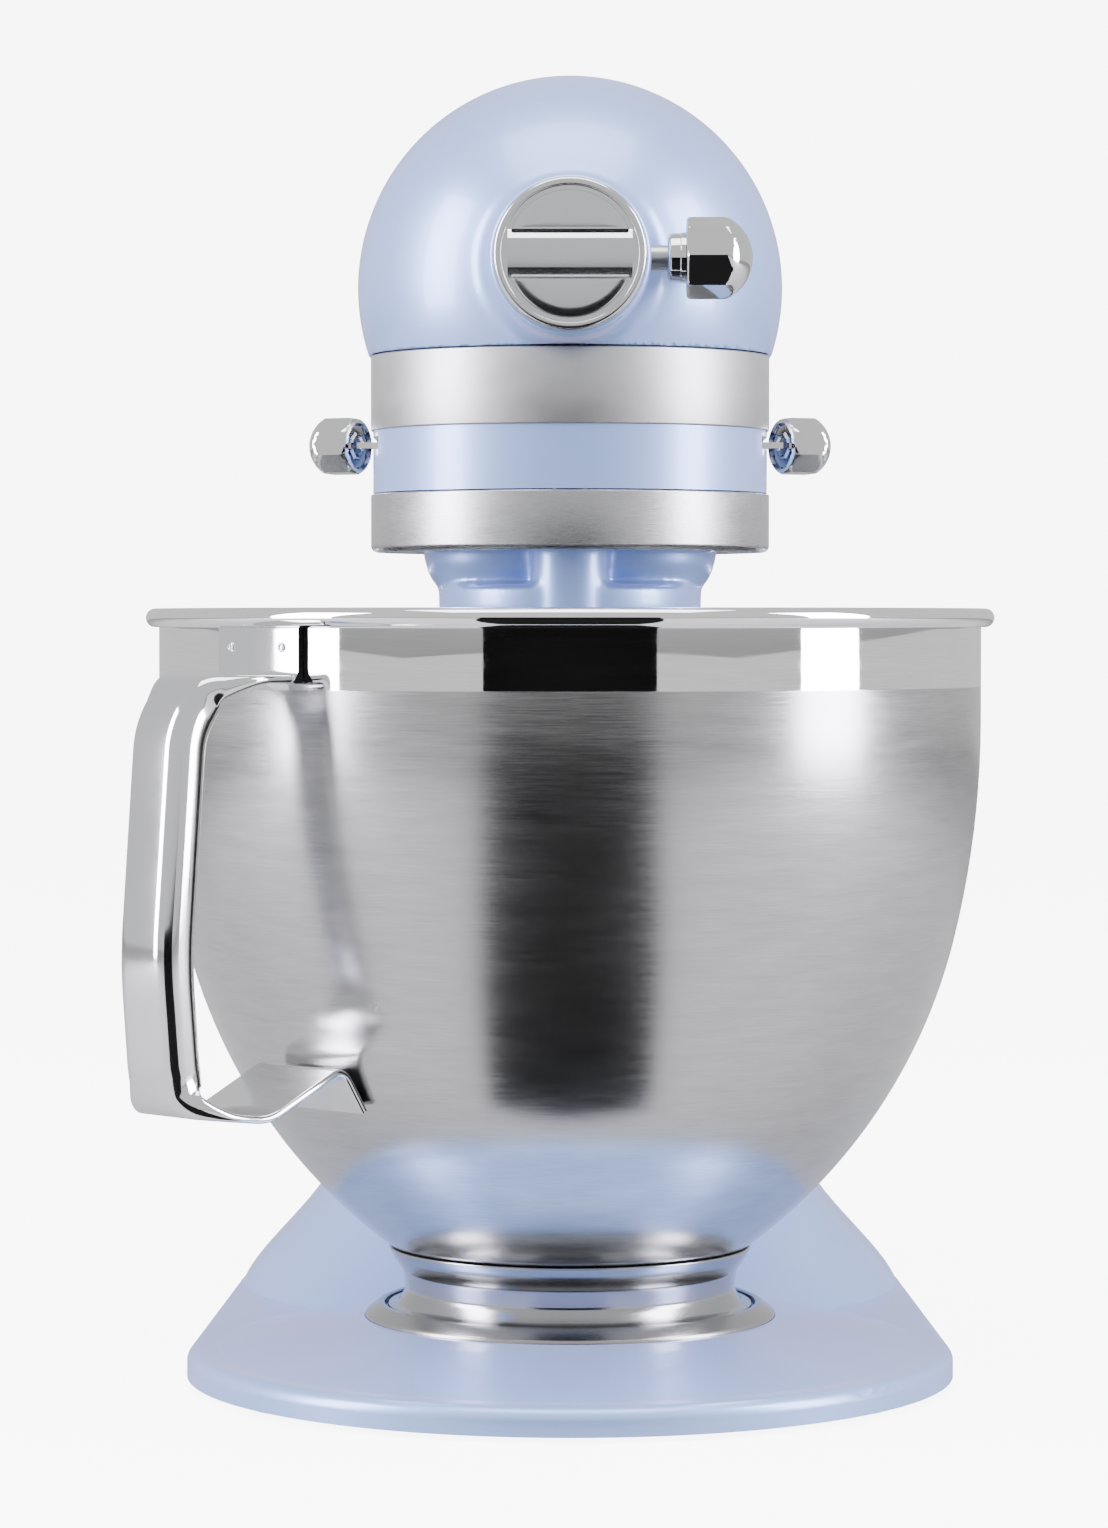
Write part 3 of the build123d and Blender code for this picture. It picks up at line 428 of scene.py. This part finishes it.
def bowl_wall(inset, steps=26):
    """The wall from its straight top down to the middle of the floor, as (radius, height)."""
    upper = (BOWL_WALL_R - UPPER_ARC, WALL_FOOT_Z)
    dx, dz = polar(UPPER_ARC - LOWER_ARC, -UPPER_TURN)
    lower = (upper[0] + dx, upper[1] + dz)
    dx, dz = polar(LOWER_ARC - HEEL_ARC, -LOWER_TURN)
    heel = (lower[0] + dx, lower[1] + dz)
    line = arc(upper, UPPER_ARC - inset, 0, -UPPER_TURN, 10)
    line += arc(lower, LOWER_ARC - inset, -UPPER_TURN, -LOWER_TURN, steps)[1:]
    line += arc(heel, HEEL_ARC - inset, -LOWER_TURN, -90, 10)[1:]
    floor_z = line[-1][1]
    return line + [(0.02, floor_z), (0.012, floor_z + 0.6 * MM), (0, floor_z + 1.2 * MM)]


def make_bowl():
    outside = bowl_wall(0)
    inside = bowl_wall(SHEET)
    inner_r = BOWL_WALL_R - SHEET
    roll = arc((RIM_R, RIM_Z), ROLL, 168, -118, 22)
    hem = [(BOWL_WALL_R + 0.06 * MM, RIM_Z - 2.25 * MM), (BOWL_WALL_R, RIM_Z - 2.9 * MM),
           (BOWL_WALL_R, STRAIGHT_Z)]
    profile = list(reversed(inside)) + [(inner_r, STRAIGHT_Z)] + roll + hem + outside
    bm = lathe(profile, AXIS, turns=256)
    return settle(new_piece("bowl", bm, 50), "bowl", "bowl_steel", BOWL_STEEL, "bowl_shell")


def make_bowl_foot():
    outline = rounded([(49.1, 36.3, 0.4), (47.0, 32.6, 3), (44.6, 29.0, 3), (44.0, 24.0, 3),
                       (46.0, 20.6, 1.5), (48.7, 20.2, 0.4), (48.7, 18.35, 0.4), (44.2, 18.35, 0.4),
                       (42.6, 22.0, 2), (42.8, 30.0, 2), (43.6, 33.6, 0.3)], closed=True)
    profile = [(r * MM, z * MM) for r, z in outline]
    bm = lathe(profile, AXIS, turns=192, closed=True)
    return settle(new_piece("bowl_foot_ring", bm, 50), "bowl_seat", "bowl_steel", FOOT_STEEL, "bowl_foot")


def make_clamp_plate():
    outline = rounded([(0.0, 17.4), (10, 17.4, 1), (12, 18.0, 1), (45.6, 18.0, 1), (49.6, 18.6, 0.6),
                       (49.6, 20.6, 0.4), (51.0, 20.6, 0.8), (54.9, 17.8, 1.4), (54.9, 15.0)])
    profile = [(r * MM, z * MM) for r, z in outline]
    bm = lathe(profile, AXIS, turns=192)
    return settle(new_piece("clamp_plate_ring", bm, 50), "base", "plate_steel", PLATE_STEEL, "clamp_plate")


# ---- bowl handle ----------------------------------------------------------------------

HANDLE_TURN = Matrix.Rotation(math.radians(225), 3, "Z")
THIN = 2.0


def handle_section(at, normal, width, depth, corner):
    """A rounded rectangle square to the strap's run; at is its outer line, normal points outwards."""
    half = width / 2
    corner = min(corner, depth / 2 - 0.05)
    outline = rounded([(-half, 0, corner), (half, 0, corner), (half, -depth, corner),
                       (-half, -depth, corner)], closed=True, steps=7)
    ring = []
    for side, level in outline:
        r, z = at[0] + normal[0] * level, at[1] + normal[1] * level
        ring.append(AXIS + HANDLE_TURN @ Vector((r * MM, side * MM, z * MM)))
    return ring


def handle_rings(outline, sizes):
    """Sections along an outer line of (r, z) points; sizes(share of the run) is (width, depth, corner)."""
    lengths = [0.0]
    for first, second in zip(outline, outline[1:]):
        lengths.append(lengths[-1] + math.dist(first, second))
    rings = []
    for index, point in enumerate(outline):
        before = outline[max(index - 1, 0)]
        after = outline[min(index + 1, len(outline) - 1)]
        run = Vector((after[0] - before[0], after[1] - before[1])).normalized()
        rings.append(handle_section(point, (-run.y, run.x), *sizes(lengths[index] / lengths[-1])))
    return rings


def ease(value, low, high):
    share = min(max((value - low) / (high - low), 0.0), 1.0)
    return share * share * (3 - 2 * share)


def make_handle():
    corner_line = rounded([(110.9, 189.0), (136.0, 189.4, 9), (144.6, 178.0, 30), (149.4, 119.0, 120),
                           (147.2, 92.0, 30), (145.0, 81.0, 10), (119.0, 77.9, 16), (95.4, 88.9, 3.2),
                           (88.6, 78.3)], steps=14)
    line = []
    for first, second in zip(corner_line, corner_line[1:]):
        pieces = max(1, round(math.dist(first, second) / 2.5))
        for step in range(pieces):
            line.append(tuple(Vector(first).lerp(Vector(second), step / pieces)))
    line.append(corner_line[-1])

    def sizes(share):
        grip = ease(share, 0.04, 0.17) * (1 - ease(share, 0.64, 0.76))
        return 30 - 10 * grip, THIN + 9.5 * grip, 0.9 + 3.9 * grip

    strap = skin(handle_rings(line, sizes), closed=False)
    flange = rounded([(113.6, 187.2, 0.2), (111.4, 189.6, 2.6), (111.4, 201.0, 0.5), (109.5, 201.0, 0.5),
                      (109.5, 187.2, 0.2)], closed=True, steps=5)
    rings = []
    for step in range(17):
        side = -15 + 30 * step / 16
        turn = HANDLE_TURN @ Matrix.Rotation(side / 110.4, 3, "Z")
        rings.append([AXIS + turn @ Vector((r * MM, 0, z * MM)) for r, z in flange])
    plate = skin(rings, closed=False)
    spots = []
    for side in (-9.5, 9.5):
        turn = HANDLE_TURN @ Matrix.Rotation(side / 110.4, 3, "Z")
        out = turn @ Vector((1, 0, 0))
        dimple = rounded([(0.0, 0.0), (0.55, 0.0, 0.2), (0.8, 0.45, 0.2), (1.25, 0.12, 0.2), (1.3, -0.4)],
                         steps=3)
        spots.append(lathe([(r * MM, h * MM) for r, h in dimple],
                           AXIS + out * 111.45 * MM + Vector((0, 0, 196 * MM)), out, 20))
    whole = join([strap, plate] + spots)
    return settle(new_piece("handle", whole, 38), "bowl", "handle_steel", HANDLE_STEEL, "bowl_handle")


# ---- head -----------------------------------------------------------------------------

HUB_R, COVE = 20.4 * MM, 9.0 * MM
HUB_FACE, HUB_BORE = 72.0 * MM, 15.2 * MM
CROWN_DROP = 3.5 * MM
HEAD_TAPER, TAPER_POWER, TAPER_END = 7.9 * MM, 1.6, 236 * MM
TAIL_R = 37 * MM
HEAD_WALL = 3 * MM
HEAD_LOW = BAND_HIGH + 0.1 * MM
CORNER = 16 * MM
COLUMNS = 240


def taper(y):
    return HEAD_R - HEAD_TAPER * max(y / TAPER_END, 0) ** TAPER_POWER


def head_column(turn):
    """A line of points at one angle round the hub, from its bore over the nose to the ball's middle."""
    out = Vector((math.cos(turn), 0, math.sin(turn)))
    hub = Vector((0, 0, CROWN_DROP))
    edge = 1.3 * MM
    line = []
    for y in (3 * MM - HUB_FACE, -HUB_FACE):
        line.append(hub + out * HUB_BORE + Vector((0, y, 0)))
    for x, y in arc((HUB_R - edge, edge - HUB_FACE), edge, -90, 0, 6):
        line.append(hub + out * x + Vector((0, y, 0)))
    ball = hub + out * (HUB_R + 0.4 * MM + COVE)
    ball.y = -math.sqrt((HEAD_R + COVE) ** 2 - ball.length_squared)
    inward, onward = -out, -ball.normalized()
    for step in range(13):
        line.append(ball + inward.slerp(onward, step / 12).normalized() * COVE)
    start = -onward
    finish = Vector((start.x, 0, start.z)).normalized()
    for step in range(1, 41):
        line.append(start.slerp(finish, step / 40).normalized() * HEAD_R)
    return line, finish


def head_rings(stations, front=True):
    """Rings round the head; stations are (y, radius) pairs behind the ball's middle."""
    columns = []
    for column in range(COLUMNS):
        line, ray = head_column(2 * math.pi * column / COLUMNS)
        columns.append((line if front else []) + [ray * radius + Vector((0, y, 0)) for y, radius in stations])
    origin = AXIS + Vector((0, 0, HUB.z - CROWN_DROP))
    return [[origin + column[row] for column in columns] for row in range(len(columns[0]))]


def cut_below(bm, level):
    bmesh.ops.bisect_plane(bm, geom=bm.verts[:] + bm.edges[:] + bm.faces[:], plane_co=(0, 0, level),
                           plane_no=(0, 0, -1), clear_outer=True)
    return bm


def thicken(piece, depth):
    wall = piece.modifiers.new("wall", "SOLIDIFY")
    wall.thickness = depth
    wall.offset = -1
    wall.use_even_offset = True


def make_head_shell():
    split = SPLIT_Y - 0.4 * MM
    stations = [(split * step / 44, taper(split * step / 44)) for step in range(1, 44)]
    stations += [(split - 0.5 * MM, taper(split) - 0.02 * MM), (split, taper(split) - 0.5 * MM)]
    bm = cut_below(skin(head_rings(stations), closed=False, caps=False), HEAD_LOW)
    shell = settle(new_piece("head_shell", bm, 40), "head", "body_paint", PAINT, "head_upper_housing")
    thicken(shell, HEAD_WALL)


def make_tail():
    wide = taper(TAPER_END)
    back = TAIL_Y - 0.1 * MM
    stations = [(SPLIT_Y, taper(SPLIT_Y) - 0.5 * MM), (SPLIT_Y + 0.5 * MM, taper(SPLIT_Y))]
    for step in range(19):
        x, y = polar(1, 90 * step / 18)
        stations.append((TAPER_END + (back - TAPER_END) * y, TAIL_R + (wide - TAIL_R) * x))
    stations += [(back, TAIL_R * step / 4) for step in (3, 2, 1)] + [(back, 0.05 * MM)]
    bm = cut_below(skin(head_rings(stations, front=False), closed=False, caps=False), HEAD_LOW)
    tail = settle(new_piece("tail_cover", bm, 40), "head", "body_paint", PAINT, "rear_cover")
    thicken(tail, HEAD_WALL)


def plan_line(count=40):
    """The head's outline from above, about the bowl's axis, as (x, y, outward x, outward y)."""
    right = []
    for step in range(count + 1):
        right.append(polar(BARREL_R, -90 + 90 * step / count))
    flank_end = 222 * MM
    for step in range(1, 31):
        y = flank_end * step / 30
        x = BARREL_R - 8.1 * MM * max((y - 30 * MM) / (flank_end - 30 * MM), 0) ** 1.35
        right.append((x, y))
    corner_x = right[-1][0] - CORNER
    rear = TAIL_Y - 3 * MM
    for step in range(1, 17):
        dx, dy = polar(1.0, 90 * step / 16)
        right.append((corner_x + CORNER * dx, flank_end + (rear - flank_end) * dy))
    for step in range(1, 7):
        right.append((corner_x * (1 - step / 6), rear))
    outline = right + [(-x, y) for x, y in reversed(right[1:-1])]
    line = []
    for index, (x, y) in enumerate(outline):
        before, after = outline[index - 1], outline[(index + 1) % len(outline)]
        run = Vector((after[0] - before[0], after[1] - before[1])).normalized()
        line.append((x, y, run.y, -run.x))
    return line


def wrapped(profile):
    """Carries a closed (outward, height) profile round the head's outline."""
    rings = []
    for x, y, out_x, out_y in plan_line():
        rings.append([AXIS + Vector((x + out_x * out, y + out_y * out, z)) for out, z in profile])
    return skin(rings, closed=True)


def make_band():
    edge = 0.5 * MM
    inner = -1.5 * MM
    profile = rounded([(0, BAND_LOW, edge), (0, BAND_HIGH, edge), (inner, BAND_HIGH), (inner, BAND_LOW)],
                      closed=True, steps=4)
    return settle(new_piece("band", wrapped(profile), 50), "head", "band_steel", BAND_STEEL, "trim_band")


# ---- drip ring ------------------------------------------------------------------------

def make_drip_ring():
    low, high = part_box("drip_ring")[0].z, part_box("drip_ring")[1].z
    outline = rounded([(49.6 * MM, low + 1.4 * MM), (49.6 * MM, low, 0.3 * MM), (BARREL_R, low, 3.6 * MM),
                       (BARREL_R, high, 0.5 * MM), (BARREL_R - 1.4 * MM, high, 0.3 * MM),
                       (BARREL_R - 1.4 * MM, low + 1.4 * MM, 2.2 * MM)], closed=True, steps=9)
    bm = lathe(outline, AXIS, turns=224, closed=True)
    return settle(new_piece("steel_ring", bm, 50), "planetary", "band_steel", RING_STEEL, "drip_ring")


# ---- hub cover ------------------------------------------------------------------------

GROOVE_R = 17.2 * MM
BAR_HALF = 6.0


def cut_outline(radius, level, sign):
    """Half disc above (or below) a chord, as closed (x, z) points."""
    start = math.degrees(math.asin(level / radius))
    return [(x, sign * z) for x, z in arc((0, 0), radius, start, 180 - start, 40)]


def cover_rim(centre, front, back, radius):
    outline = rounded([(GROOVE_R, front + 1.3 * MM), (GROOVE_R, front + 0.6 * MM, 0.3 * MM),
                       (radius, front + 0.6 * MM, 1.1 * MM), (radius, back), (GROOVE_R, back)],
                      closed=True, steps=6)
    return lathe([(r, -y) for r, y in outline], centre, (0, -1, 0), 160, closed=True)


def cover_floor(centre, front, back):
    outline = [(0.0, front), (GROOVE_R + 0.1 * MM, front), (GROOVE_R + 0.1 * MM, back), (0.0, back)]
    return lathe([(r, -y) for r, y in outline], centre, (0, -1, 0), 120)


def cover_half(centre, front, sign):
    """One of the slightly domed halves above and below the finger bar."""
    rings = []
    for inset, drop in ((0.0, 2.3), (0.0, 1.15), (0.12, 0.85), (0.45, 0.7), (2.5, 0.62), (6.5, 0.55)):
        outline = cut_outline((15.9 - inset) * MM, (BAR_HALF + inset * 0.25) * MM, sign)
        rings.append([centre + Vector((x, front + drop * MM, z)) for x, z in outline])
    return skin(rings, closed=False)


def cover_bar(centre, front):
    profile = rounded([(-BAR_HALF, 1.7), (-3.7, 0.05, 0.4), (3.7, 0.05, 0.4), (BAR_HALF, 1.7),
                       (BAR_HALF, 2.3), (-BAR_HALF, 2.3)], closed=True, steps=3)
    rings = []
    for step in range(25):
        x = (-15.6 + 31.2 * step / 24) * MM
        rings.append([centre + Vector((x, front + depth * MM, z * MM)) for z, depth in profile])
    return skin(rings, closed=False)


def make_cover():
    low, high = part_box("hub_cover")
    centre = Vector((HUB.x, 0, HUB.z))
    parts = [cover_rim(centre, low.y, high.y, (high.x - low.x) / 2),
             cover_floor(centre, low.y + 2.2 * MM, high.y), cover_bar(centre, low.y)]
    parts += [cover_half(centre, low.y, sign) for sign in (1, -1)]
    return settle(new_piece("hub_lid", join(parts), 34), "hub_cover", "cover_steel", COVER_STEEL, "hub_cover")


# ---- knobs ----------------------------------------------------------------------------

FACETS, FACET_STEPS = 8, 14
LEVER_ANGLE = math.radians(27)
LEVER_PIVOT = Vector((24 * MM, 4 * MM, 0))


def grip(origin, axis, radius, ball, start, stop, hollow):
    """A knob with eight flats that run out on a ball; its inner face is dished round a low boss."""
    spin = Vector((0, 0, 1)).rotation_difference(Vector(axis).normalized()).to_matrix()
    count, facet = FACETS * FACET_STEPS, 2 * math.pi / FACETS
    centre = stop - ball
    rings = []

    def ring(along, scale, limit, trim):
        points = []
        for turn in range(count):
            angle = 2 * math.pi * turn / count
            off = angle % facet - facet / 2
            reach = min(radius * math.cos(facet / 2) / math.cos(off), limit) * scale - trim
            x, y = polar(reach, math.degrees(angle))
            points.append(origin + spin @ Vector((x, y, along)))
        rings.append(points)

    boss = hollow * 0.4
    dish = ((hollow, 0.30), (boss, 0.36), (boss, 0.42), (hollow, 0.50), (hollow, 0.74), (0.0, 0.84))
    for depth, scale in dish:
        ring(start + depth, scale, ball, 0)
    for along, trim in ((start, 0.5 * MM), (start + 0.15 * MM, 0.15 * MM), (start + 0.5 * MM, 0)):
        ring(along, 1, math.sqrt(ball ** 2 - (along - centre) ** 2), trim)
    first = start + 1.0 * MM
    for step in range(29):
        turn = math.acos((first - centre) / ball) * (1 - step / 28)
        ring(centre + ball * math.cos(turn), 1, max(ball * math.sin(turn), 0.05 * MM), 0)
    return skin(rings, closed=False)


def make_attachment_knob():
    low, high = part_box("attachment_knob")
    centre = (low + high) / 2
    knob = grip(Vector((0, centre.y, centre.z)), (1, 0, 0), (high.z - low.z) / 2 - 0.05 * MM, 11.4 * MM,
                high.x - 16.9 * MM, high.x - 0.02 * MM, 0.5 * MM)
    outline = rounded([(3.3, 0.0), (6.2, 0.0, 1.2), (6.3, 3.4, 0.5), (7.0, 3.7, 0.3), (7.0, 4.6, 0.3),
                       (5.0, 5.3)], steps=5)
    profile = [(min(r, 6.45) * MM, h * MM) for r, h in outline]
    collar = lathe(profile, Vector((low.x, centre.y, centre.z)), (1, 0, 0), 96)
    return settle(new_piece("grip_knob", join([knob, collar]), 24), "attachment_knob", "knob_chrome", CHROME,
                  "attachment_knob")


def make_lever_knob(side):
    low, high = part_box(f"{side}_knob")
    sign = 1 if low.x > 0 else -1
    axis = Vector((sign * math.cos(LEVER_ANGLE), math.sin(LEVER_ANGLE), 0))
    pivot = Vector((sign * LEVER_PIVOT.x, AXIS.y + LEVER_PIVOT.y, (low.z + high.z) / 2))
    knob = grip(pivot, axis, 8.05 * MM, 8.9 * MM, 37 * MM, 51.58 * MM, 0.9 * MM)
    return settle(new_piece(f"{side}_grip", knob, 24), f"{side}_lever", "knob_chrome", CHROME, f"{side}_knob")


# ---- castings -------------------------------------------------------------------------

def soften(width, *names):
    """Rounds the sharp edges of castings that stay as designed."""
    for name in names:
        soft = nodes[name].modifiers.new("soft_edges", "BEVEL")
        soft.width = width * MM
        soft.segments = 3
        soft.limit_method = "ANGLE"
        soft.angle_limit = math.radians(35)


def blend(name):
    """Melts a casting's corners into soft fillets."""
    melt = nodes[name].modifiers.new("melt", "REMESH")
    melt.mode = "VOXEL"
    melt.voxel_size = 0.9 * MM
    melt.use_smooth_shade = True
    smooth = nodes[name].modifiers.new("smooth", "SMOOTH")
    smooth.factor = 0.5
    smooth.iterations = 14


# ---- floor, light and camera ----------------------------------------------------------

AISLE_HALF_ANGLE = 23
WORLD_LIGHT, BACKDROP, FLOOR_GLOW = 0.85, 8.0, 7.0
CARD_TOP = 0.225
BLACK_TONE, GREY_TONE = 0.008, 0.5


def make_floor():
    bm = bmesh.new()
    bmesh.ops.create_grid(bm, x_segments=2, y_segments=2, size=6.0)
    floor = new_piece("floor", bm)
    floor.location.z = cad_low.z
    shade = Shade("studio_floor", Specular_IOR_Level=0.25)
    cloud = shade.noise(shade.place, 6.0)
    shade.set("Base Color", shade.between(cloud, (0.93, 0.93, 0.93), (0.96, 0.96, 0.96)))
    shade.set("Roughness", shade.span(shade.noise(shade.place, 40.0), 0.75, 0.9))
    shade.shader.inputs["Emission Color"].default_value = (1, 1, 1, 1)
    shade.shader.inputs["Emission Strength"].default_value = FLOOR_GLOW
    floor.data.materials.append(shade.material)
    floor.visible_diffuse = False
    floor.visible_glossy = False


def make_card(name, tone, corners):
    """A card that only reflections see."""
    bm = bmesh.new()
    bm.faces.new([bm.verts.new(corner) for corner in corners])
    card = new_piece(name, bm)
    card.visible_camera = False
    card.visible_shadow = False
    card.visible_diffuse = False
    shade = Shade(name, Specular_IOR_Level=0.0)
    felt = shade.noise(shade.place, 80.0)
    shade.set("Base Color", shade.between(felt, (tone * 0.8,) * 3, (tone,) * 3))
    shade.set("Roughness", shade.span(felt, 0.9, 1.0))
    card.data.materials.append(shade.material)


def make_cards():
    """What the steel mirrors: grey ground, a dark aisle towards the camera and a low card at its end."""
    ground_z, aisle_z = cad_low.z + 0.0004, cad_low.z + 0.001
    near, far = 0.118, 2.6
    slope = math.tan(math.radians(AISLE_HALF_ANGLE))
    left, right = -far * slope, far * slope
    corners = ((-4, -4), (4, -4), (4, 4), (-4, 4))
    make_card("grey_ground", GREY_TONE, [Vector((x, y, ground_z)) for x, y in corners])
    corners = ((-near * slope, -near), (near * slope, -near), (right, -far), (left, -far))
    make_card("dark_aisle", BLACK_TONE, [AXIS + Vector((x, y, aisle_z)) for x, y in corners])
    corners = ((left, aisle_z), (right, aisle_z), (right, CARD_TOP), (left, CARD_TOP))
    make_card("dark_card", BLACK_TONE, [AXIS + Vector((x, -far, z)) for x, z in corners])


def make_world():
    """An even white studio, brighter behind the mixer than in its reflections."""
    world = bpy.data.worlds.new("studio")
    world.use_nodes = True
    bpy.context.scene.world = world
    tree = world.node_tree
    back = tree.nodes["Background"]
    back.inputs["Color"].default_value = (0.985, 0.985, 1.0, 1)
    path = tree.nodes.new("ShaderNodeLightPath")
    level = tree.nodes.new("ShaderNodeMapRange")
    level.inputs["To Min"].default_value = WORLD_LIGHT
    level.inputs["To Max"].default_value = BACKDROP
    tree.links.new(path.outputs["Is Camera Ray"], level.inputs["Value"])
    tree.links.new(level.outputs["Result"], back.inputs["Strength"])


def make_light(name, place, target, size, power, tint=(1, 1, 1)):
    lamp = bpy.data.lights.new(name, "AREA")
    lamp.shape = "RECTANGLE"
    lamp.size, lamp.size_y = size
    lamp.energy = power
    lamp.color = tint
    light = bpy.data.objects.new(name, lamp)
    light.location = place
    light.rotation_euler = (Vector(target) - Vector(place)).to_track_quat("-Z", "Y").to_euler()
    bpy.context.scene.collection.objects.link(light)


def make_camera():
    lens = bpy.data.cameras.new("camera")
    lens.lens = 108
    lens.sensor_width = 36
    lens.clip_end = 20
    camera = bpy.data.objects.new("camera", lens)
    camera.location = (0, AXIS.y - CAMERA_DISTANCE, CAMERA_HEIGHT)
    camera.rotation_euler = (math.radians(90 - CAMERA_TILT), 0, math.radians(CAMERA_YAW))
    bpy.context.scene.collection.objects.link(camera)
    bpy.context.scene.camera = camera


make_bowl()
make_bowl_foot()
make_clamp_plate()
make_handle()
make_head_shell()
make_tail()
make_band()
make_drip_ring()
make_cover()
make_attachment_knob()
make_lever_knob("speed")
make_lever_knob("lock")
soften(0.5, "gearcase", "column_casting", "base_casting")
blend("planetary_housing")
make_floor()
make_cards()
make_world()
centre = (0, 0, 0.2)
make_light("left_wall", (-1.5, -0.5, 0.7), centre, (0.6, 1.4), 58, (0.93, 0.90, 1.0))
make_light("right_wall", (1.5, -0.5, 0.7), centre, (0.6, 1.4), 54, (0.93, 0.90, 1.0))
make_light("top_sheet", (0, -0.4, 1.7), centre, (1.4, 1.0), 22)
make_camera()
